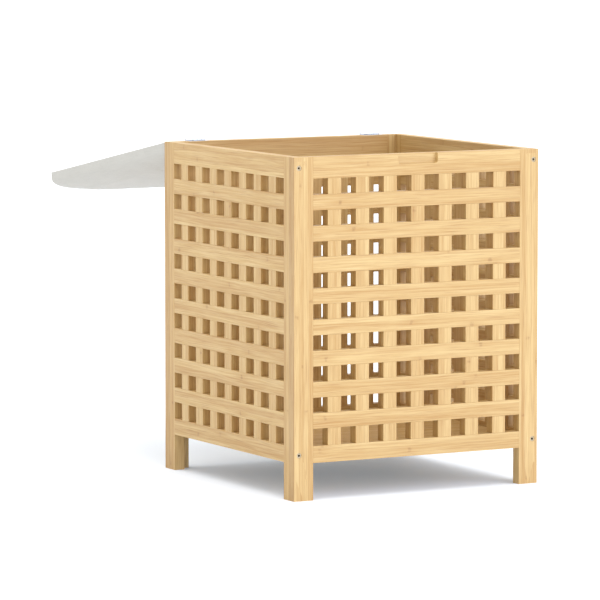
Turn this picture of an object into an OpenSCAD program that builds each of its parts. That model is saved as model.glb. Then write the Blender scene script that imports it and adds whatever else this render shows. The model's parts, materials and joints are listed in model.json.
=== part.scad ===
// Laundry hamper: a square box of four bamboo lattice panels on four legs, with a padded lid on two
// butt hinges. Millimetres, +Z up, front towards -Y, origin on the floor at the centre of the
// footprint. The lid is drawn fully open, resting against the back of the box.

/* [Frame] */
// Width and depth of the square box
frame_w = 400; // [380:5:430]
// Height of the box
frame_h = 485; // [475:5:530]
// Thickness of the four panels
panel_t = 16; // [15:0.5:18]
// Width of the uprights seen at the edges of every face
stile_w = 30.5; // [29:0.5:34]
// Height of the top rails
top_rail_h = 30.5; // [28:0.5:34]
// Height of the bottom rails
bottom_rail_h = 24; // [22:0.5:28]
// Height of the bottom rails above the floor
leg_clear = 53; // [45:1:60]

/* [Lattice] */
// Openings across each face
columns = 8; // [6:1:8]
// Openings up each face
rows = 9; // [7:1:9]
// Width of the upright slats
upright_w = 21.5; // [18:0.5:22]
// Height of the cross slats
cross_h = 22; // [19:0.5:23]
// Height of the top row of openings
top_row_h = 22.5; // [20:0.5:24]
// Height of the bottom row of openings
bottom_row_h = 24.5; // [20:0.5:26]

/* [Finger recess] */
// Width of the recess in the front top rail
recess_w = 65; // [50:1:90]
// Height of the recess
recess_h = 15; // [12:0.5:18]
// Depth of the recess
recess_depth = 6.5; // [5:0.5:7]
// Radius of its two lower corners
recess_r = 4.5; // [3:0.5:6]

/* [Floor] */
// Thickness of the floor board
floor_t = 8; // [6:0.5:8]
// Height of the cleats under the floor board
cleat_h = 9; // [8:0.5:10]
// Width of the cleats
cleat_w = 12; // [10:1:14]

/* [Lid] */
// Gap from the edge of the closed lid to the sides and the front of the box
lid_inset = 1.5; // [1:0.5:5]
// Thickness of the board inside the lid
board_t = 10; // [9:0.5:12]
// Thickness of the foam on the board
foam_h = 20; // [14:1:24]
// Width of the rounded edge of the foam
foam_edge = 39; // [30:1:50]
// Thickness of the cover
cover_t = 1; // [0.8:0.1:1.2]
// How far the lid opens, from level
open_angle = 190; // [180:0.5:190]

/* [Hinges] */
// Length of a hinge
hinge_l = 32; // [28:1:40]
// Centre of a hinge from the side of the box
hinge_inset = 52; // [50:1:80]
// Width of a hinge leaf on the wood
leaf_w = 14; // [12:0.5:14]
// Thickness of a hinge leaf
leaf_t = 1.2; // [1:0.1:1.2]

/* [Hidden] */
$fn = 48;

// Faces of the box, as turns from the front
front = 0;
right = 90;
back = 180;
left = 270;

// Lattice
half_w = frame_w / 2;
field_w = frame_w - 2 * stile_w;
opening_w = (field_w - (columns - 1) * upright_w) / columns;
top_rail_z = frame_h - top_rail_h;
field_z = leg_clear + bottom_rail_h;
first_cross_z = field_z + bottom_row_h;
last_cross_z = top_rail_z - top_row_h - cross_h;
row_pitch = (last_cross_z - first_cross_z) / (rows - 2);

// Stub tenons, centred in the panel's thickness
tenon_t = panel_t / 2;
tenon_l = 8;
tenon_shoulder = 3;

// Screws: radius and height of the head, radius of the shank, length; and how deep a head is sunk
assembly_screw = [3.75, 2, 2.4, 50];
assembly_sink = 0.6;
cleat_screw = [3, 1.8, 1.5, 20];
leaf_screw = [2.6, 1.2, 1.5, 14];
lid_screw = [2.6, 1.2, 1.5, 9];
pilot_gap = 0.05;
socket_r = 1.7;
assembly_x = half_w - panel_t / 2;
assembly_z = [leg_clear + bottom_rail_h / 2, frame_h - top_rail_h / 2];
cleat_screw_y = [-130, 0, 130];

// Floor
inside_w = frame_w - 2 * panel_t;
floor_gap = 0.3;

// Hinges. Barrel axis at the origin of the hinge, closed leaves lying towards -Y
knuckle_r = 2.4;
barrel_gap = 0.2;
pin_r = 1;
pin_gap = 0.05;
knuckle_gap = 0.2;
knuckles = 5;
knuckle_l = hinge_l / knuckles;
leaf_face = knuckle_r + barrel_gap;
leaf_screw_x = hinge_l / 2 - 6;
leaf_screw_y = -leaf_face - leaf_w / 2;
hinge_x = half_w - hinge_inset;
axis_y = half_w + leaf_face;
axis_z = frame_h - leaf_t + leaf_face;

// Lid, drawn closed and level from the hinge axis
lid_back_gap = 0.1;
lid_w = frame_w - 2 * lid_inset;
lid_d = frame_w + leaf_face - lid_back_gap - lid_inset;
lid_y = -lid_back_gap - lid_d / 2;
lid_corner_r = 4;
board_gap = 0.1;
board_z = leaf_face + cover_t;
foam_z = board_z + board_t;
hem_w = 22;
lining_t = 0.6;
lining_inset = 17;
staple_inset = 19;
staples_a_side = 6;
staple_w = 10;
staple_wire = [1.2, 0.6];
staple_leg = 6;
dome_steps = 6;

bamboo = "burlywood";
bamboo_core = "tan";
steel = "silver";
eps = 0.01;

// ---- Placing

// Puts a panel drawn at the front on another face: x along it, y into the box
module on_face(turn) {
    rotate([0, 0, turn]) translate([0, -half_w, 0]) children();
}

// Draws the left one of a pair as it is, and the right one mirrored
module on_side(side) {
    mirror([side > 0 ? 1 : 0, 0, 0]) children();
}

module at_hinge(side) {
    translate([side * hinge_x, axis_y, axis_z]) children();
}

// Turns what hangs on the lid from closed and level to open
module opened() {
    translate([0, axis_y, axis_z]) rotate([-open_angle, 0, 0]) children();
}

// ---- Screws

// Countersunk screw pointing down, its head's top at z = 0
module screw_body(size, gap) {
    head_r = size[0] + gap;
    shank_r = size[2] + gap;
    rotate_extrude()
        polygon([[0, 0], [head_r, 0], [shank_r, -size[1]], [shank_r, -size[3] - gap], [0, -size[3] - gap]]);
}

module screw(size, recess_r) {
    difference() {
        screw_body(size, 0);
        translate([0, 0, -size[1]]) cylinder(r = recess_r, h = size[1] + 1, $fn = 6);
    }
}

module screw_hole(size) {
    screw_body(size, pilot_gap);
    translate([0, 0, -eps]) cylinder(r = size[0] + pilot_gap, h = 1);
}

// Places where the assembly screws go in, their heads sunk just under the front face
module at_assembly_points() {
    for (x = [-assembly_x, assembly_x], z = assembly_z)
        translate([x, assembly_sink, z]) rotate([90, 0, 0]) children();
}

module assembly_holes() {
    for (turn = [front, back])
        on_face(turn) at_assembly_points() screw_hole(assembly_screw);
}

// Places on the cleat's inner side; side is -1 on the left, 1 on the right
module at_cleat_points(side) {
    for (y = cleat_screw_y)
        translate([side * (inside_w / 2 - cleat_w), y, leg_clear + cleat_h / 2])
            rotate([0, -side * 90, 0]) children();
}

// ---- Lattice panels, each drawn at the front with its outer face at y = 0

function cross_z(i) = first_cross_z + i * row_pitch;
function upright_x(i) = -field_w / 2 + opening_w + i * (opening_w + upright_w);

// Stub tenons that run through a horizontal member and out of both its ends
module bar_tenons(z, h) {
    translate([-field_w / 2 - tenon_l, (panel_t - tenon_t) / 2, z + tenon_shoulder])
        cube([field_w + 2 * tenon_l, tenon_t, h - 2 * tenon_shoulder]);
}

module upright_tenons(i) {
    translate([upright_x(i) + tenon_shoulder, (panel_t - tenon_t) / 2, field_z - tenon_l])
        cube([upright_w - 2 * tenon_shoulder, tenon_t, top_rail_z - field_z + 2 * tenon_l]);
}

module bar(z, h) {
    translate([-field_w / 2, 0, z]) cube([field_w, panel_t, h]);
    bar_tenons(z, h);
}

// Left edge member of a panel, from x to the field, mortised for the rails and cross slats
module stile(x) {
    difference() {
        translate([x, 0, 0]) cube([-field_w / 2 - x, panel_t, frame_h]);
        bar_tenons(leg_clear, bottom_rail_h);
        bar_tenons(top_rail_z, top_rail_h);
        for (i = [0 : rows - 2]) bar_tenons(cross_z(i), cross_h);
    }
}

// Full-width stile of the front and back panels
module leg(turn, side) {
    color(bamboo) difference() {
        on_face(turn) on_side(side) stile(-half_w);
        assembly_holes();
    }
}

// Narrow stile of the side panels, which stands behind a leg
module side_stile(turn, side) {
    color(bamboo_core) difference() {
        on_face(turn) on_side(side) stile(-half_w + panel_t);
        assembly_holes();
    }
}

module rail(turn, z, h) {
    color(bamboo) difference() {
        on_face(turn) bar(z, h);
        on_face(turn) for (i = [0 : columns - 2]) upright_tenons(i);
        assembly_holes();
    }
}

// Cross slats run unbroken over the outside; the uprights are let into their backs
module cross_slats(turn) {
    color(bamboo) on_face(turn) for (i = [0 : rows - 2]) difference() {
        bar(cross_z(i), cross_h);
        for (j = [0 : columns - 2])
            translate([upright_x(j), panel_t / 2, cross_z(i) - 1])
                cube([upright_w, panel_t, cross_h + 2]);
    }
}

module upright_slats(turn) {
    color(bamboo_core) on_face(turn) for (i = [0 : columns - 2]) difference() {
        union() {
            translate([upright_x(i), 0, field_z]) cube([upright_w, panel_t, top_rail_z - field_z]);
            upright_tenons(i);
        }
        for (j = [0 : rows - 2])
            translate([upright_x(i) - 1, -panel_t / 2, cross_z(j)])
                cube([upright_w + 2, panel_t, cross_h]);
    }
}

module finger_recess() {
    low = frame_h - recess_h;
    translate([0, -half_w + recess_depth, 0]) rotate([90, 0, 0]) linear_extrude(2 * recess_depth) {
        translate([-recess_w / 2, low + recess_r]) square([recess_w, recess_h]);
        translate([-recess_w / 2 + recess_r, low]) square([recess_w - 2 * recess_r, recess_h]);
        for (side = [-1, 1])
            translate([side * (recess_w / 2 - recess_r), low + recess_r]) circle(recess_r);
    }
}

module front_top_rail() {
    color(bamboo) difference() {
        rail(front, top_rail_z, top_rail_h);
        finger_recess();
    }
}

// Let in on top for the hinge leaves, so that they lie flush
module back_top_rail() {
    color(bamboo) difference() {
        rail(back, top_rail_z, top_rail_h);
        for (side = [-1, 1]) at_hinge(side) {
            leaf_seat();
            at_frame_leaf_points() screw_hole(leaf_screw);
        }
    }
}

module side_bottom_rail(turn, side) {
    color(bamboo) difference() {
        rail(turn, leg_clear, bottom_rail_h);
        at_cleat_points(side) screw_hole(cleat_screw);
    }
}

// ---- Floor

module floor_board() {
    size = inside_w - 2 * floor_gap;
    color(bamboo) translate([-size / 2, -size / 2, leg_clear + cleat_h]) cube([size, size, floor_t]);
}

module floor_cleat(side) {
    length = inside_w - 2 * floor_gap;
    color(bamboo_core) difference() {
        translate([side * (inside_w - cleat_w) / 2 - cleat_w / 2, -length / 2, leg_clear])
            cube([cleat_w, length, cleat_h]);
        at_cleat_points(side) screw_hole(cleat_screw);
    }
}

module cleat_screws() {
    color(steel) for (side = [-1, 1]) at_cleat_points(side) screw(cleat_screw, 1);
}

module assembly_screws(turn) {
    color(steel) on_face(turn) at_assembly_points() screw(assembly_screw, socket_r);
}

// ---- Hinges, drawn closed about the barrel's axis

module at_frame_leaf_points() {
    for (x = [-leaf_screw_x, leaf_screw_x])
        translate([x, leaf_screw_y, -leaf_face + leaf_t]) children();
}

module at_lid_leaf_points() {
    for (x = [-leaf_screw_x, leaf_screw_x])
        translate([x, leaf_screw_y, leaf_face - leaf_t]) mirror([0, 0, 1]) children();
}

// Recess in the wood that a leaf on the frame lies flush in
module leaf_seat() {
    translate([-hinge_l / 2 - pilot_gap, -leaf_face - leaf_w - pilot_gap, -leaf_face])
        cube([hinge_l + 2 * pilot_gap, leaf_w + 1, leaf_t + 1]);
}

// Leaf under the barrel's axis, with every other knuckle from number first
module leaf(first) {
    difference() {
        union() {
            translate([-hinge_l / 2, -leaf_face - leaf_w, -leaf_face])
                cube([hinge_l, leaf_w + barrel_gap, leaf_t]);
            for (i = [first : 2 : knuckles - 1])
                translate([-hinge_l / 2 + i * knuckle_l + knuckle_gap / 2, 0, 0]) {
                    rotate([0, 90, 0]) cylinder(r = knuckle_r, h = knuckle_l - knuckle_gap);
                    translate([0, -leaf_face, -leaf_face])
                        cube([knuckle_l - knuckle_gap, leaf_face / 2, leaf_t]);
                }
        }
        translate([-hinge_l, 0, 0]) rotate([0, 90, 0]) cylinder(r = pin_r + pin_gap, h = 2 * hinge_l);
        at_frame_leaf_points() screw_hole(leaf_screw);
    }
}

module hinge_frame_leaf(side) {
    color(steel) at_hinge(side) leaf(0);
}

module hinge_lid_leaf(side) {
    color(steel) opened() translate([side * hinge_x, 0, 0]) mirror([0, 0, 1]) leaf(1);
}

module hinge_pin(side) {
    color(steel) at_hinge(side) translate([-hinge_l / 2, 0, 0]) rotate([0, 90, 0])
        cylinder(r = pin_r, h = hinge_l);
}

module hinge_frame_screws() {
    color(steel) for (side = [-1, 1]) at_hinge(side) at_frame_leaf_points() screw(leaf_screw, 1);
}

module hinge_lid_screws() {
    color(steel) opened() for (side = [-1, 1])
        translate([side * hinge_x, 0, 0]) at_lid_leaf_points() screw(lid_screw, 1);
}

// ---- Lid, drawn closed and level from the hinge axis

// Block with straight sides and a pillow top, its underside at z = 0
module domed_block(w, d, side_h, dome_h, edge, corner_r) {
    hull() for (sx = [-1, 1], sy = [-1, 1], step = [0 : dome_steps]) {
        a = 90 * step / dome_steps;
        inset = edge * (1 - cos(a));
        r = corner_r + inset;
        translate([sx * (w / 2 - inset - r), sy * (d / 2 - inset - r), step == 0 ? 0 : side_h])
            cylinder(r = r, h = step == 0 ? side_h : dome_h * sin(a), $fn = 32);
    }
}

// Outline of the board or the lining, this far in from the edge of the lid
module lid_plate(inset, z, h) {
    w = lid_w - 2 * inset;
    d = lid_d - 2 * inset;
    r = max(lid_corner_r - inset, 2);
    translate([0, lid_y, z]) linear_extrude(h) {
        square([w - 2 * r, d], center = true);
        square([w, d - 2 * r], center = true);
        for (sx = [-1, 1], sy = [-1, 1]) translate([sx * (w / 2 - r), sy * (d / 2 - r)]) circle(r);
    }
}

module lid_screw_holes() {
    for (side = [-1, 1]) translate([side * hinge_x, 0, 0]) at_lid_leaf_points() screw_hole(lid_screw);
}

module lid_board() {
    color("peru") opened() difference() {
        lid_plate(cover_t + board_gap, board_z, board_t);
        lid_screw_holes();
    }
}

module lid_foam() {
    size = 2 * cover_t + 2 * pilot_gap;
    color("ivory") opened() translate([0, lid_y, foam_z])
        domed_block(lid_w - size, lid_d - size, 0.1, foam_h - 0.2, foam_edge, lid_corner_r - cover_t);
}

// Wraps the foam and the board's edges, with a hem turned in under the board
module lid_cover() {
    color("gainsboro") opened() difference() {
        translate([0, lid_y, leaf_face])
            domed_block(lid_w, lid_d, cover_t + board_t, cover_t + foam_h, foam_edge + cover_t, lid_corner_r);
        translate([0, lid_y, board_z])
            domed_block(lid_w - 2 * cover_t, lid_d - 2 * cover_t, board_t, foam_h, foam_edge,
                        lid_corner_r - cover_t);
        lid_plate(hem_w, leaf_face - 1, cover_t + 2);
        lid_screw_holes();
    }
}

module lid_lining() {
    color("whitesmoke") opened() lid_plate(lining_inset, leaf_face - lining_t, lining_t);
}

// Wire staple with its crown along x, driven upwards from z = 0
module staple() {
    translate([-staple_w / 2, -staple_wire[0] / 2, -staple_wire[1]])
        cube([staple_w, staple_wire[0], staple_wire[1]]);
    for (x = [-staple_w / 2, staple_w / 2 - staple_wire[1]])
        translate([x, -staple_wire[0] / 2, 0]) cube([staple_wire[1], staple_wire[0], staple_leg]);
}

module lid_staples() {
    pitch = (lid_w - 2 * staple_inset) / staples_a_side;
    color(steel) opened() translate([0, lid_y, leaf_face - lining_t])
        for (turn = [front, right, back, left], i = [0 : staples_a_side - 1])
            rotate([0, 0, turn])
                translate([(i - (staples_a_side - 1) / 2) * pitch,
                           -(turn % 180 == 0 ? lid_d : lid_w) / 2 + staple_inset, 0]) staple();
}

leg(front, -1);  // front_left_leg
leg(front, 1);  // front_right_leg
leg(back, 1);  // back_left_leg
leg(back, -1);  // back_right_leg
side_stile(left, 1);  // left_front_stile
side_stile(left, -1);  // left_back_stile
side_stile(right, -1);  // right_front_stile
side_stile(right, 1);  // right_back_stile
front_top_rail();
back_top_rail();
rail(left, top_rail_z, top_rail_h);  // left_top_rail
rail(right, top_rail_z, top_rail_h);  // right_top_rail
rail(front, leg_clear, bottom_rail_h);  // front_bottom_rail
rail(back, leg_clear, bottom_rail_h);  // back_bottom_rail
side_bottom_rail(left, -1);  // left_bottom_rail
side_bottom_rail(right, 1);  // right_bottom_rail
cross_slats(front);  // front_cross_slats
cross_slats(back);  // back_cross_slats
cross_slats(left);  // left_cross_slats
cross_slats(right);  // right_cross_slats
upright_slats(front);  // front_upright_slats
upright_slats(back);  // back_upright_slats
upright_slats(left);  // left_upright_slats
upright_slats(right);  // right_upright_slats
floor_board();
floor_cleat(-1);  // left_floor_cleat
floor_cleat(1);  // right_floor_cleat
cleat_screws();
assembly_screws(front);  // front_assembly_screws
assembly_screws(back);  // back_assembly_screws
hinge_frame_leaf(-1);  // left_hinge_frame_leaf
hinge_lid_leaf(-1);  // left_hinge_lid_leaf
hinge_pin(-1);  // left_hinge_pin
hinge_frame_leaf(1);  // right_hinge_frame_leaf
hinge_lid_leaf(1);  // right_hinge_lid_leaf
hinge_pin(1);  // right_hinge_pin
hinge_frame_screws();
hinge_lid_screws();
lid_board();
lid_foam();
lid_cover();
lid_lining();
lid_staples();
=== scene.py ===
import json
import math

import bpy
from mathutils import Matrix, Vector, noise


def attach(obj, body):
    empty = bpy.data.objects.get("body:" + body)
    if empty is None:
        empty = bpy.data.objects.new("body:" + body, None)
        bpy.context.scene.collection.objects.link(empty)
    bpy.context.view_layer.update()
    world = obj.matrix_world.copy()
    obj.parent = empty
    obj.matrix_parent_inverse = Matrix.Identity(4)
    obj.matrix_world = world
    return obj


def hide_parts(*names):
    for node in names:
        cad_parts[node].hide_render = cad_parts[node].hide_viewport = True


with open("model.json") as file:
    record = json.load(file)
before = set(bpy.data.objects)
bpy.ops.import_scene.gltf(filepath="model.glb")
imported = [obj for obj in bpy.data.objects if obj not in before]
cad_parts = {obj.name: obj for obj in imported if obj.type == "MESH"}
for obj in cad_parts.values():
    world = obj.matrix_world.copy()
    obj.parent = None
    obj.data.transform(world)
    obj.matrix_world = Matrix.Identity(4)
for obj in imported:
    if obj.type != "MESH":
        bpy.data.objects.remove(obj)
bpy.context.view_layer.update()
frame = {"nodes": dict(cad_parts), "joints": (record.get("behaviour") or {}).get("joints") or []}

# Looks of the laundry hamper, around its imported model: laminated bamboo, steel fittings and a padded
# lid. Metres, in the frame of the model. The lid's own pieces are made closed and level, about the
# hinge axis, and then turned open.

NODES = frame["nodes"]

# ---- Driving sizes

MM = 0.001
LID_HINGE = frame["joints"][0]
OPEN_ANGLE = math.radians(190)

LID_CORNER = 4 * MM
RIM_HEIGHT = 11 * MM
FOAM_EDGE = 40 * MM
LINING_INSET = 17 * MM
LINING_THICKNESS = 0.6 * MM
STAPLE_INSET = 19 * MM
STAPLES_A_SIDE = 6

WOOD_EDGE = 0.4 * MM
STRIP_WIDTH = 7.6 * MM
STRIP_DEPTH = 8 * MM
RAIL_STRIP_DEPTH = 24 * MM
STRIP_START = 200 * MM
LAYER_START = 216 * MM
FLOOR_STRIP = 20 * MM

# ---- The lid's frame


def opened():
    """Turns what is drawn closed and level about the hinge axis to where it is in the model."""
    return Matrix.Translation(LID_HINGE["pos_m"]) @ Matrix.Rotation(-OPEN_ANGLE, 4, "X")


def lid_box():
    """Lowest and highest corner of the cover, closed and level."""
    back = opened().inverted()
    points = [back @ v.co for v in NODES["lid_cover"].data.vertices]
    low = Vector(min(p[i] for p in points) for i in range(3))
    high = Vector(max(p[i] for p in points) for i in range(3))
    return low, high


LID_LOW, LID_HIGH = lid_box()
LID_WIDTH = LID_HIGH.x - LID_LOW.x
LID_DEPTH = LID_HIGH.y - LID_LOW.y
UNDERSIDE = LID_LOW.z
RIM_TOP = UNDERSIDE + RIM_HEIGHT
STAPLE_PITCH = (LID_WIDTH - 2 * STAPLE_INSET) / STAPLES_A_SIDE

# ---- Material building


class Surface:
    """A material around one Principled shader, with short calls for the nodes that feed it."""

    def __init__(self, name):
        self.material = bpy.data.materials.new(name)
        self.material.use_nodes = True
        self.tree = self.material.node_tree
        self.tree.nodes.clear()
        self.shader = self.add("ShaderNodeBsdfPrincipled")
        output = self.add("ShaderNodeOutputMaterial")
        self.tree.links.new(self.shader.outputs[0], output.inputs[0])

    def add(self, kind, inputs=None, **settings):
        node = self.tree.nodes.new(kind)
        for name, value in settings.items():
            setattr(node, name, value)
        for name, value in (inputs or {}).items():
            self.feed(node.inputs[name], value)
        return node

    def feed(self, socket, value):
        if isinstance(value, bpy.types.NodeSocket):
            self.tree.links.new(value, socket)
        else:
            socket.default_value = value

    def set(self, **inputs):
        """Shader inputs by name, with underscores for spaces."""
        for name, value in inputs.items():
            self.feed(self.shader.inputs[name.replace("_", " ")], value)

    def math(self, operation, a, b=0.0, c=0.0):
        node = self.add("ShaderNodeMath", {0: a, 1: b, 2: c}, operation=operation)
        return node.outputs[0]

    def combine(self, x, y, z):
        return self.add("ShaderNodeCombineXYZ", {0: x, 1: y, 2: z}).outputs[0]

    def noise(self, vector, scale, detail=2.0, roughness=0.5):
        inputs = {"Vector": vector, "Scale": scale, "Detail": detail, "Roughness": roughness}
        return self.add("ShaderNodeTexNoise", inputs).outputs[0]

    def random(self, vector):
        """A value and a colour that are the same all over a cell."""
        return self.add("ShaderNodeTexWhiteNoise", {"Vector": vector}).outputs

    def spread(self, value, low, high, to_low=0.0, to_high=1.0):
        """Maps low..high smoothly to to_low..to_high, and stays within them."""
        inputs = {"Value": value, 1: low, 2: high, 3: to_low, 4: to_high}
        return self.add("ShaderNodeMapRange", inputs, interpolation_type="SMOOTHSTEP").outputs[0]

    def mix(self, factor, a, b, blend="MIX"):
        node = self.add("ShaderNodeMix", data_type="RGBA", blend_type=blend)
        for socket, value in zip((node.inputs[0], node.inputs[6], node.inputs[7]), (factor, a, b)):
            self.feed(socket, value)
        return node.outputs[2]

    def bump(self, height, distance, strength=1.0):
        inputs = {"Height": height, "Distance": distance, "Strength": strength}
        self.set(Normal=self.add("ShaderNodeBump", inputs).outputs[0])

    def axes(self):
        """Object coordinates, as three values."""
        coordinates = self.add("ShaderNodeTexCoord").outputs["Object"]
        return self.add("ShaderNodeSeparateXYZ", {0: coordinates}).outputs


def grey(value):
    return (value, value, value, 1.0)


# ---- Bamboo

BAMBOO_LIGHT = (0.62, 0.442, 0.189, 1.0)
BAMBOO_DARK = (0.42, 0.228, 0.063, 1.0)
BAMBOO_NODE = (0.24, 0.105, 0.028, 1.0)
BAMBOO_FIBRE = (0.31, 0.142, 0.034, 1.0)
NODE_SPACING = 0.62
NODE_HALF_WIDTH = 3.5 * MM


def bamboo(name, grain, across, depth, strip=STRIP_WIDTH, layer=STRIP_DEPTH):
    """Strips of bamboo glued side by side: grain, across and depth are axes, 0 to 2.

    The strips lie in layers, counted from LAYER_START off the middle. Where one layer meets the next
    within a board, its strips change.
    """
    s = Surface(name)
    place = s.axes()
    column = s.math("DIVIDE", s.math("ADD", place[across], STRIP_START), strip)
    row = s.math("DIVIDE", s.math("ADD", place[depth], LAYER_START), layer)
    cell = s.combine(s.math("FLOOR", column), s.math("FLOOR", row), grain + 0.5)
    tone, tint = s.random(cell)
    shift = s.add("ShaderNodeSeparateXYZ", {0: tint}).outputs
    along = s.math("ADD", place[grain], s.math("MULTIPLY", shift[0], 7.0))

    slow = s.combine(s.math("MULTIPLY", along, 7.0), s.math("MULTIPLY", place[across], 25.0), tone)
    drift = s.noise(slow, 1.0)
    sideways = s.math("ADD", place[across], s.math("MULTIPLY", drift, 9 * MM))

    def stretched(grain_scale, cross_scale):
        return s.combine(
            s.math("MULTIPLY", along, grain_scale),
            s.math("MULTIPLY", sideways, cross_scale),
            s.math("MULTIPLY", place[depth], cross_scale),
        )

    cloud = s.spread(s.noise(stretched(5, 40), 1.0, 2.0), 0.3, 0.7)
    fibres = s.spread(s.noise(stretched(9, 420), 1.0, 3.0, 0.6), 0.33, 0.67)
    lines = s.spread(s.noise(stretched(16, 1000), 1.0, 2.0, 0.5), 0.54, 0.70)
    threads = s.noise(stretched(40, 2600), 1.0, 2.0, 0.6)

    blend = s.math("ADD", s.math("MULTIPLY", tone, 0.40), s.math("MULTIPLY", cloud, 0.20))
    blend = s.math("ADD", blend, s.math("MULTIPLY", fibres, 0.40))
    colour = s.mix(blend, BAMBOO_LIGHT, BAMBOO_DARK)
    colour = s.mix(s.math("MULTIPLY", lines, 0.50), colour, BAMBOO_FIBRE)
    dashes = s.spread(threads, 0.56, 0.74)
    colour = s.mix(s.math("MULTIPLY", dashes, 0.34), colour, BAMBOO_FIBRE)

    edge = s.math("ABSOLUTE", s.math("SUBTRACT", s.math("FRACT", column), 0.5))
    wander = s.noise(s.combine(place[across], place[depth], along), 160.0)
    turn = s.math("FRACT", s.math("DIVIDE", along, NODE_SPACING))
    offset = s.math("MULTIPLY", s.math("ABSOLUTE", s.math("SUBTRACT", turn, 0.5)), NODE_SPACING)
    offset = s.math("ADD", offset, s.math("MULTIPLY", s.math("SUBTRACT", wander, 0.5), 12 * MM))
    band = s.math("MULTIPLY", s.spread(offset, NODE_HALF_WIDTH, 0.0), s.spread(edge, 0.5, 0.2, 0.3, 1.0))
    smoke = s.spread(offset, 30 * MM, 0.0)
    stain = s.math("MULTIPLY", band, s.math("ADD", s.math("MULTIPLY", fibres, 0.6), 0.25))
    colour = s.mix(s.math("MULTIPLY", smoke, 0.30), colour, BAMBOO_DARK)
    colour = s.mix(s.math("MULTIPLY", stain, 0.60), colour, BAMBOO_NODE)

    seam = s.spread(edge, 0.478, 0.497)
    colour = s.mix(s.math("MULTIPLY", seam, 0.20), colour, BAMBOO_NODE)

    roughness = s.spread(fibres, 0.0, 1.0, 0.40, 0.54)
    s.set(Base_Color=colour, Roughness=roughness, Specular_IOR_Level=0.6)
    relief = s.math("ADD", s.math("MULTIPLY", threads, 0.5), s.math("MULTIPLY", fibres, 0.5))
    relief = s.math("SUBTRACT", relief, s.math("MULTIPLY", seam, 0.6))
    relief = s.math("ADD", relief, s.math("MULTIPLY", band, 0.35))
    s.bump(relief, 0.12 * MM, 0.6)
    return s.material


def soften(node, width, segments=2):
    """Breaks the sharp edges of a CAD node and shades its round faces smooth."""
    mesh = node.data
    if mesh.attributes.get("custom_normal"):
        mesh.attributes.remove(mesh.attributes["custom_normal"])
    mesh.shade_smooth()
    weld = node.modifiers.new("Weld", "WELD")
    weld.merge_threshold = 0.001 * MM
    flat = node.modifiers.new("Flat faces", "DECIMATE")
    flat.decimate_type = "DISSOLVE"
    flat.angle_limit = math.radians(0.5)
    bevel = node.modifiers.new("Broken edges", "BEVEL")
    bevel.width = width
    bevel.segments = segments
    bevel.limit_method = "ANGLE"
    bevel.angle_limit = math.radians(35)
    bevel.harden_normals = True


def paint(node, material):
    node.data.materials.clear()
    node.data.materials.append(material)


def dress_wood():
    """Gives every wooden node the bamboo that runs the way its grain does."""
    x, y, z = 0, 1, 2
    upright_front = bamboo("bamboo_upright_front", z, x, y)
    upright_side = bamboo("bamboo_upright_side", z, y, x)
    level_front = bamboo("bamboo_level_front", x, z, y, layer=RAIL_STRIP_DEPTH)
    level_side = bamboo("bamboo_level_side", y, z, x, layer=RAIL_STRIP_DEPTH)
    panel = bamboo("bamboo_floor_panel", x, y, z, strip=FLOOR_STRIP, layer=FLOOR_STRIP)
    for name, node in NODES.items():
        sides = name.startswith(("left", "right"))
        if name.endswith(("_leg", "_stile", "upright_slats")):
            material = upright_side if sides else upright_front
        elif name.endswith(("_rail", "cross_slats", "_cleat")):
            material = level_side if sides else level_front
        elif name == "floor_board":
            material = panel
        else:
            continue
        paint(node, material)
        soften(node, WOOD_EDGE)


# ---- Steel and the lid's board

DULL_STEEL = (0.22, 0.21, 0.20, 1.0)


def steel(name, base, roughness, brushed_axis=0):
    """Plated steel with fine drawing marks along one axis."""
    s = Surface(name)
    place = s.axes()
    scales = [2600.0, 2600.0, 2600.0]
    scales[brushed_axis] = 90.0
    marks = s.noise(s.combine(*(s.math("MULTIPLY", p, k) for p, k in zip(place, scales))), 1.0, 3.0)
    cloud = s.noise(s.combine(*place), 220.0, 3.0)
    s.set(
        Base_Color=s.mix(s.spread(cloud, 0.35, 0.75, 0.0, 0.4), base, DULL_STEEL),
        Roughness=s.spread(marks, 0.3, 0.7, roughness - 0.08, roughness + 0.12),
        Metallic=1.0,
    )
    s.bump(marks, 0.02 * MM, 0.5)
    return s.material


def fibreboard():
    s = Surface("lid_fibreboard")
    grain = s.noise(s.combine(*s.axes()), 900.0, 5.0, 0.7)
    s.set(Base_Color=s.mix(grain, (0.42, 0.27, 0.14, 1), (0.30, 0.18, 0.09, 1)), Roughness=0.85)
    s.bump(grain, 0.2 * MM)
    return s.material


def dress_metal():
    hinge = steel("hinge_steel", (0.62, 0.635, 0.66, 1.0), 0.30)
    screw = steel("screw_steel", (0.44, 0.35, 0.22, 1.0), 0.42, brushed_axis=1)
    staple = steel("staple_wire", grey(0.62), 0.30)
    for name, node in NODES.items():
        if "hinge" in name and "screws" not in name:
            paint(node, hinge)
            soften(node, 0.12 * MM)
        elif "screws" in name:
            paint(node, screw)
            soften(node, 0.10 * MM)
        elif name == "lid_staples":
            paint(node, staple)
            soften(node, 0.10 * MM)
    paint(NODES["lid_board"], fibreboard())


# ---- Cloth

COVER_LIGHT = (0.515, 0.497, 0.448, 1.0)
COVER_DARK = (0.415, 0.398, 0.355, 1.0)
LINING_LIGHT = (0.60, 0.595, 0.58, 1.0)
LINING_DARK = (0.46, 0.455, 0.44, 1.0)


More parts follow.
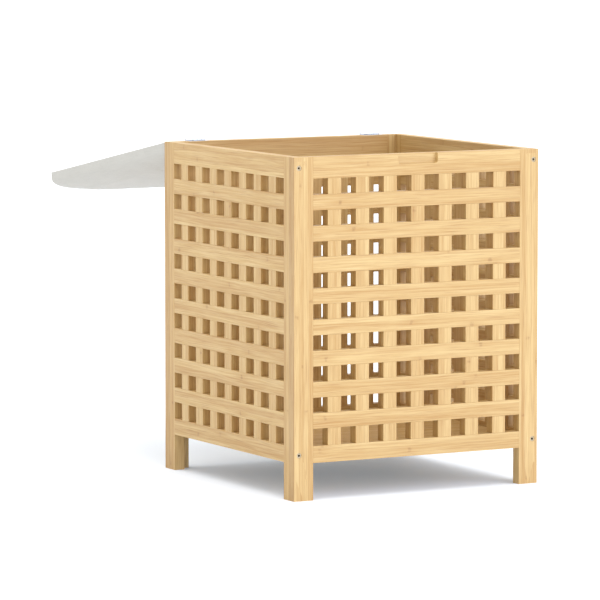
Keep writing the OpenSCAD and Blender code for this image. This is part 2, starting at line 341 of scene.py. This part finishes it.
def woven(name, light, dark, thread, relief):
    """Plain weave that follows the cloth's own flat coordinates, in metres."""
    s = Surface(name)
    flat = s.add("ShaderNodeSeparateXYZ", {0: s.add("ShaderNodeTexCoord").outputs["UV"]}).outputs
    place = s.combine(*s.axes())
    turns = [s.math("MULTIPLY", axis, math.pi / thread) for axis in flat[:2]]
    warp, weft = (s.math("SINE", turn) for turn in turns)
    over = s.math("MULTIPLY", warp, weft)
    slub = s.noise(s.combine(s.math("MULTIPLY", flat[0], 30.0), s.math("MULTIPLY", flat[1], 900.0), 0.0), 1.0)
    slub_across = s.noise(
        s.combine(s.math("MULTIPLY", flat[0], 900.0), s.math("MULTIPLY", flat[1], 30.0), 4.0), 1.0
    )
    cloud = s.noise(place, 14.0, 3.0)
    fuzz = s.noise(place, 2400.0, 2.0)
    threads = s.math("ADD", s.math("MULTIPLY", over, 0.25), s.math("ADD", slub, slub_across))
    shade = s.math("ADD", s.math("MULTIPLY", threads, 0.5), s.math("MULTIPLY", fuzz, 0.35))
    shade = s.math("ADD", shade, s.math("MULTIPLY", cloud, 0.25))
    s.set(
        Base_Color=s.mix(s.spread(shade, 0.45, 1.15), dark, light),
        Roughness=s.spread(fuzz, 0.3, 0.7, 0.80, 0.95),
        Sheen_Weight=0.25,
        Sheen_Roughness=0.5,
        Specular_IOR_Level=0.25,
    )
    s.bump(s.math("ADD", threads, s.math("MULTIPLY", fuzz, 0.5)), relief, 0.8)
    return s.material


def make_mesh(name, points, faces, flat):
    """A smooth mesh object in the lid's frame, with each point's place in the flat cloth as its UV."""
    mesh = bpy.data.meshes.new(name)
    mesh.from_pydata(points, [], faces)
    layer = mesh.uv_layers.new(name="UVMap")
    for loop in mesh.loops:
        layer.data[loop.index].uv = flat[loop.vertex_index]
    mesh.shade_smooth()
    piece = bpy.data.objects.new(name, mesh)
    bpy.context.scene.collection.objects.link(piece)
    return piece


class Ring:
    """One closed line round the pad: how far in from the lid's edge, how high, and its unrolled reach."""

    def __init__(self, inset, height, reach):
        self.inset = inset
        self.height = height
        self.reach = reach


EDGE_RINGS = 14
FIELD_RINGS = 17
RIM_ROUND = 0.8 * MM


def unrolled(profile):
    """Rings from (inset, height) pairs listed from the lid's middle outwards, down and back in."""
    rings = []
    reach = 0.0
    for i, (inset, height) in enumerate(profile):
        if i:
            reach += math.hypot(inset - profile[i - 1][0], height - profile[i - 1][1])
        rings.append(Ring(inset, height, reach))
    return rings


def pad_profile(half, side_top, crown):
    """Top of the pad, its rounded edge, the straight rim and the hem under it."""
    profile = []
    for i in range(FIELD_RINGS):
        profile.append((half - (half - FOAM_EDGE) * i / FIELD_RINGS, crown))
    for i in range(EDGE_RINGS + 1):
        turn = math.pi / 2 * (1 - i / EDGE_RINGS)
        height = side_top + (crown - side_top) * math.sin(turn)
        profile.append((FOAM_EDGE * (1 - math.cos(turn)), height))
    top_count = len(profile)
    rim = side_top - UNDERSIDE
    for share in (0.7, 0.4):
        profile.append((0.0, UNDERSIDE + rim * share))
    for turn in (0.0, math.pi / 4, math.pi / 2):
        inset = RIM_ROUND * (1 - math.cos(turn))
        profile.append((inset, UNDERSIDE + RIM_ROUND * (1 - math.sin(turn))))
    side_count = len(profile)
    for i in range(1, top_count):
        profile.append((RIM_ROUND + (half - RIM_ROUND) * (i / (top_count - 1)) ** 1.3, UNDERSIDE))
    return unrolled(profile), top_count, side_count


def rounded(x, y, half_x, half_y, radius):
    """Moves a point of a rectangle's edge on to the same rectangle with round corners."""
    corner_x = half_x - radius
    corner_y = half_y - radius
    over = Vector((abs(x) - corner_x, abs(y) - corner_y))
    if min(over) <= 0 or over.length == 0:
        return x, y
    over *= radius / over.length
    return math.copysign(corner_x + over.x, x), math.copysign(corner_y + over.y, y)


def corner_radius(inset, half):
    """Round at the rim, widest where the foam's edge ends, and square again at the middle."""
    if inset <= FOAM_EDGE:
        return LID_CORNER + inset
    return (LID_CORNER + FOAM_EDGE) * (half - inset) / (half - FOAM_EDGE)


def build_pad():
    """The cover as one closed form of square rings: (piece, pinned points)."""
    half = LID_WIDTH / 2
    stretch = LID_DEPTH / LID_WIDTH
    rings, top_count, side_count = pad_profile(half, RIM_TOP, LID_HIGH.z)
    last = top_count - 1
    side = [(k, -last) for k in range(-last, last)] + [(last, k) for k in range(-last, last)]
    around = side + [(-i, -j) for i, j in side]
    points = []
    flat = []
    faces = []

    def lay(ring, i, j, steps):
        """Adds the point of a ring where column i meets row j; steps are the columns' own insets."""
        half_x = half - ring.inset
        x, y = (
            math.copysign(min(half - steps[last - abs(k)], half_x), k) if k else 0.0 for k in (i, j)
        )
        scale = ring.reach / half_x if half_x > 1e-6 else 1.0
        radius = min(corner_radius(ring.inset, half), half_x)
        round_x, round_y = rounded(x, y, half_x, half_x, radius)
        points.append((round_x, round_y * stretch, ring.height))
        flat.append((x * scale, y * scale * stretch))
        return len(points) - 1

    def grid(ring_of, steps):
        """A square of points, where ring_of(k) is the ring at k squares from the middle."""
        return {
            (i, j): lay(ring_of(max(abs(i), abs(j))), i, j, steps)
            for i in range(-last, last + 1)
            for j in range(-last, last + 1)
        }

    def edge_loop(square):
        """The outermost points of a grid, in order round it."""
        return [square[place] for place in around]

    def fill(square, up):
        for i in range(-last, last):
            for j in range(-last, last):
                corner = [square[i, j], square[i + 1, j], square[i + 1, j + 1], square[i, j + 1]]
                faces.append(corner if up else corner[::-1])

    steps = [rings[last - k].inset for k in range(top_count)]
    top = grid(lambda k: rings[k], steps)
    fill(top, True)
    loops = [edge_loop(top)]
    for ring in rings[top_count:side_count]:
        loops.append([lay(ring, i, j, steps) for i, j in around])
    hem = rings[side_count - 1 :]
    bottom_steps = [hem[k].inset for k in range(top_count)]
    bottom = grid(lambda k: hem[last - k], bottom_steps)
    fill(bottom, False)
    for upper, lower in zip(loops, loops[1:]):
        for a in range(len(upper)):
            b = (a + 1) % len(upper)
            faces.append([upper[a], lower[a], lower[b], upper[b]])
    rim = edge_loop(bottom)
    swap = dict(zip(loops[-1], rim))
    faces = [[swap.get(v, v) for v in face] for face in faces]
    pinned_below = RIM_TOP + 2.5 * MM
    pinned = [i for i, p in enumerate(points) if p[2] <= pinned_below]
    piece = make_mesh("lid_padded_cover", points, faces, flat)
    return piece, pinned


def drop_loose(piece, pinned):
    """Removes points that no face uses, and renumbers the pinned ones."""
    mesh = piece.data
    used = sorted({v for p in mesh.polygons for v in p.vertices})
    new = {old: i for i, old in enumerate(used)}
    points = [mesh.vertices[i].co[:] for i in used]
    faces = [[new[v] for v in p.vertices] for p in mesh.polygons]
    layer = mesh.uv_layers[0].data
    flat = {}
    for loop in mesh.loops:
        flat[new[loop.vertex_index]] = layer[loop.index].uv[:]
    name = piece.name
    bpy.data.objects.remove(piece)
    return make_mesh(name, points, faces, flat), [new[i] for i in pinned if i in new]


def swell(piece, pinned, pressure, cap, frames=20):
    """Swells the cover as cloth. The foam holds it out, so points only rise, and by cap at most."""
    scene = bpy.context.scene
    group = piece.vertex_groups.new(name="pinned")
    group.add(pinned, 1.0, "REPLACE")
    cloth = piece.modifiers.new("Cloth", "CLOTH")
    settings = cloth.settings
    settings.quality = 5
    settings.mass = 0.3
    settings.tension_stiffness = 40
    settings.compression_stiffness = 40
    settings.shear_stiffness = 20
    settings.bending_stiffness = 4
    settings.use_pressure = True
    settings.uniform_pressure_force = pressure
    settings.vertex_group_mass = group.name
    settings.effector_weights.gravity = 0
    cloth.collision_settings.use_collision = False
    cloth.point_cache.frame_start = 1
    cloth.point_cache.frame_end = frames
    for number in range(1, frames + 1):
        scene.frame_set(number)
    shaped = piece.evaluated_get(bpy.context.evaluated_depsgraph_get())
    moved = [v.co.copy() for v in shaped.data.vertices]
    outward = [v.normal.copy() for v in piece.data.vertices]
    piece.modifiers.remove(cloth)
    for vertex, target, normal in zip(piece.data.vertices, moved, outward):
        rise = max(0.0, (target - vertex.co).dot(normal))
        vertex.co += normal * min(rise, cap)
    scene.frame_set(1)


def subdivide(piece):
    """Applies one subdivision."""
    piece.modifiers.new("Subdivision", "SUBSURF").levels = 1
    shaped = piece.evaluated_get(bpy.context.evaluated_depsgraph_get())
    mesh = bpy.data.meshes.new_from_object(shaped)
    piece.modifiers.clear()
    piece.data = mesh
    mesh.name = piece.name
    mesh.shade_smooth()


def smooth_step(value):
    value = min(1.0, max(0.0, value))
    return value * value * (3 - 2 * value)


def dip(distance, width):
    """A rounded groove's share of its depth, at this distance from its line."""
    return math.exp(-((distance / width) ** 2))


CORNER_SPAN = 30 * MM
PLEAT_HEIGHT = 13 * MM
SIDE_PLEATS = (38, 52)
SIDE_PLEAT_DEPTH = 0.9 * MM
MIDDLE_PLEAT_DEPTH = 0.5 * MM
MITRE_REACH = 26 * MM
MITRE_HALF_WIDTH = 14 * MM
RIM_HOLLOW = 0.22 * MM
TOP_WAVE = 0.35 * MM


def pleat(p, centre):
    """Draws a point of the pad's edge in, where the cloth is gathered round a corner."""
    out = Vector((abs(p.x) - centre.x, abs(p.y) - centre.y))
    if max(out) < -CORNER_SPAN:
        return
    reach_x = out.x + CORNER_SPAN
    reach_y = out.y + CORNER_SPAN
    turn = math.degrees(math.atan2(reach_y, reach_x))
    fade = smooth_step(1 - (p.z - RIM_TOP) / PLEAT_HEIGHT) * smooth_step(1 - abs(turn - 45) / 24)
    groove = sum(dip(turn - at, 1.5) for at in SIDE_PLEATS) * SIDE_PLEAT_DEPTH
    groove += dip(turn - 45, 1.8) * MIDDLE_PLEAT_DEPTH
    outward = Vector((math.copysign(reach_x, p.x), math.copysign(reach_y, p.y), 0))
    p -= outward.normalized() * groove * fade


def mitre(p):
    """Raises and sinks a point of the hem along the fold that runs in from a corner."""
    inset_x = LID_WIDTH / 2 - abs(p.x)
    inset_y = LID_DEPTH / 2 - abs(p.y)
    inside = min(inset_x, inset_y)
    slope = inset_y - inset_x
    fade = smooth_step(1 - abs(slope) / MITRE_HALF_WIDTH) * smooth_step(inside / (2 * MM))
    fade *= smooth_step(1 - inside / MITRE_REACH)
    fold = 0.5 * math.tanh(slope / (0.8 * MM)) + 0.5
    p.z += (dip(slope, 1.2 * MM) * 0.45 - fold * 0.25) * MM * fade


def tuck_corners(piece):
    """Pleats that gather the cover round each corner, and the mitred fold of the hem under it."""
    centre = Vector((LID_WIDTH / 2 - LID_CORNER, LID_DEPTH / 2 - LID_CORNER))
    for vertex in piece.data.vertices:
        if vertex.co.z > UNDERSIDE + 0.3 * MM:
            pleat(vertex.co, centre)
        else:
            mitre(vertex.co)


def relax_rim(piece):
    """Slight hollows where the cloth is pulled over the board's edge, and slight waves on the top."""
    for vertex in piece.data.vertices:
        p = vertex.co
        fade = smooth_step(1 - abs(p.z - RIM_TOP) / (9 * MM))
        side_x = LID_WIDTH / 2 - abs(p.x) < LID_DEPTH / 2 - abs(p.y)
        along = p.y if side_x else p.x
        amount = RIM_HOLLOW * fade * (0.5 - 0.5 * math.cos(2 * math.pi * along / STAPLE_PITCH))
        if side_x:
            p.x -= math.copysign(amount, p.x)
        else:
            p.y -= math.copysign(amount, p.y)
        top = smooth_step((p.z - 20 * MM) / (8 * MM))
        p.z += TOP_WAVE * noise.noise(Vector((p.x, p.y, 3.1)) * 26) * top


def settle_on_lid(piece):
    """Takes a piece from the middle of the closed lid to its place on the open one, and hangs it on."""
    centre = Vector(((LID_LOW.x + LID_HIGH.x) / 2, (LID_LOW.y + LID_HIGH.y) / 2, 0))
    piece.data.transform(opened() @ Matrix.Translation(centre))
    piece.data.update()
    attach(piece, "lid")


def make_cover():
    piece, pinned = build_pad()
    piece, pinned = drop_loose(piece, pinned)
    swell(piece, pinned, pressure=4, cap=1.6 * MM)
    subdivide(piece)
    tuck_corners(piece)
    relax_rim(piece)
    piece.data.materials.append(woven("cover_cloth", COVER_LIGHT, COVER_DARK, 0.45 * MM, 0.12 * MM))
    settle_on_lid(piece)
    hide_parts("lid_cover", "lid_foam")


def staple_places():
    """Middles of the staples, about the lid's centre."""
    run = [(i - (STAPLES_A_SIDE - 1) / 2) * STAPLE_PITCH for i in range(STAPLES_A_SIDE)]
    across = [(a, side * (LID_DEPTH / 2 - STAPLE_INSET)) for a in run for side in (-1, 1)]
    down = [(side * (LID_WIDTH / 2 - STAPLE_INSET), a) for a in run for side in (-1, 1)]
    return [Vector(place) for place in across + down]


LINING_CELLS = 120


def make_lining():
    """The sheet stapled over the turned-in hem: a thin slab that lies tight at the staples."""
    size = Vector((LID_WIDTH - 2 * LINING_INSET, LID_DEPTH - 2 * LINING_INSET))
    staples = staple_places()
    points = []
    faces = []
    n = LINING_CELLS

    def puff(x, y):
        """How far the sheet stands off the hem here."""
        nearest = min((Vector((x, y)) - s).length for s in staples)
        edge = min(size.x / 2 - abs(x), size.y / 2 - abs(y))
        lift = 0.35 * smooth_step(nearest / (24 * MM)) * smooth_step(1 - edge / (26 * MM))
        wave = 0.22 * noise.noise(Vector((x, y, 0.7)) * 22) * smooth_step(edge / (20 * MM))
        fold = 0.30 * smooth_step(1 - abs(edge - 4 * MM) / (4 * MM))
        return (lift + wave + fold) * MM

    for outer in (True, False):
        for i in range(n + 1):
            for j in range(n + 1):
                x = size.x * (i / n - 0.5)
                y = size.y * (j / n - 0.5)
                z = UNDERSIDE - (LINING_THICKNESS + puff(x, y) if outer else 0.02 * MM)
                points.append((x, y, z))
    layer = (n + 1) ** 2

    def at(i, j, inner=False):
        return i * (n + 1) + j + (layer if inner else 0)

    for i in range(n):
        for j in range(n):
            faces.append([at(i, j + 1), at(i + 1, j + 1), at(i + 1, j), at(i, j)])
            faces.append([at(i, j, True), at(i + 1, j, True), at(i + 1, j + 1, True), at(i, j + 1, True)])
    edge = [(k, 0) for k in range(n)] + [(n, k) for k in range(n)]
    edge += [(n - i, n - j) for i, j in edge]
    for (i, j), (k, m) in zip(edge, edge[1:] + edge[:1]):
        faces.append([at(i, j), at(k, m), at(k, m, True), at(i, j, True)])
    piece = make_mesh("lid_lining_sheet", points, faces, [p[:2] for p in points])
    piece.data.materials.append(woven("lining_cloth", LINING_LIGHT, LINING_DARK, 0.35 * MM, 0.08 * MM))
    settle_on_lid(piece)
    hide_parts("lid_lining")


# ---- Studio

FLOOR_REACH = 60.0
FLOOR_COLOUR = (0.87, 0.87, 0.87, 1.0)
FLOOR_GLOW = (0.042, 0.090, 0.145, 1.0)
WHITE_LIGHT = (1.0, 1.0, 1.0)
COOL_LIGHT = (0.98, 1.08, 1.38)
CAMERA_LENS = 264.02
CAMERA_PLACE = (-3.1257, -5.5831, 0.9013)
CAMERA_DIP = 5.740
CAMERA_TURN = 28.601


def make_floor():
    corners = [(-1, -1), (1, -1), (1, 1), (-1, 1)]
    mesh = bpy.data.meshes.new("studio_floor")
    mesh.from_pydata([(x * FLOOR_REACH, y * FLOOR_REACH, 0) for x, y in corners], [], [(0, 1, 2, 3)])
    floor = bpy.data.objects.new("studio_floor", mesh)
    bpy.context.scene.collection.objects.link(floor)
    s = Surface("studio_floor")
    s.set(Base_Color=FLOOR_COLOUR, Roughness=0.9, Emission_Color=FLOOR_GLOW, Emission_Strength=1.0)
    mesh.materials.append(s.material)


def make_surround():
    """Even white light from all round, which is the plain backdrop too."""
    world = bpy.data.worlds.new("studio")
    world.use_nodes = True
    background = world.node_tree.nodes["Background"]
    background.inputs["Color"].default_value = grey(1.0)
    background.inputs["Strength"].default_value = 1.0
    bpy.context.scene.world = world


def make_sun(name, towards, brightness, spread, colour):
    """A soft light from far off; brightness is what it gives a white card that faces it."""
    data = bpy.data.lights.new(name, "SUN")
    data.energy = brightness * math.pi
    data.color = colour
    data.angle = math.radians(spread)
    lamp = bpy.data.objects.new(name, data)
    lamp.rotation_euler = Vector(towards).to_track_quat("Z", "Y").to_euler()
    bpy.context.scene.collection.objects.link(lamp)


def make_light():
    make_surround()
    make_sun("overhead_light", (0.0, 0.0, 1.0), 0.62, 65, WHITE_LIGHT)
    make_sun("front_light", (0.30, -1.0, 0.35), 0.46, 60, COOL_LIGHT)


def make_camera():
    """A long lens from the front left, a little above the hamper."""
    data = bpy.data.cameras.new("camera")
    data.lens = CAMERA_LENS
    data.sensor_width = 36
    data.clip_start = 0.1
    data.clip_end = 200
    camera = bpy.data.objects.new("camera", data)
    camera.location = CAMERA_PLACE
    camera.rotation_euler = (math.radians(90 - CAMERA_DIP), 0, math.radians(-CAMERA_TURN))
    bpy.context.scene.collection.objects.link(camera)
    bpy.context.scene.camera = camera
    bpy.context.scene.view_settings.view_transform = "Standard"


make_camera()
make_light()
make_floor()
dress_wood()
dress_metal()
make_cover()
make_lining()
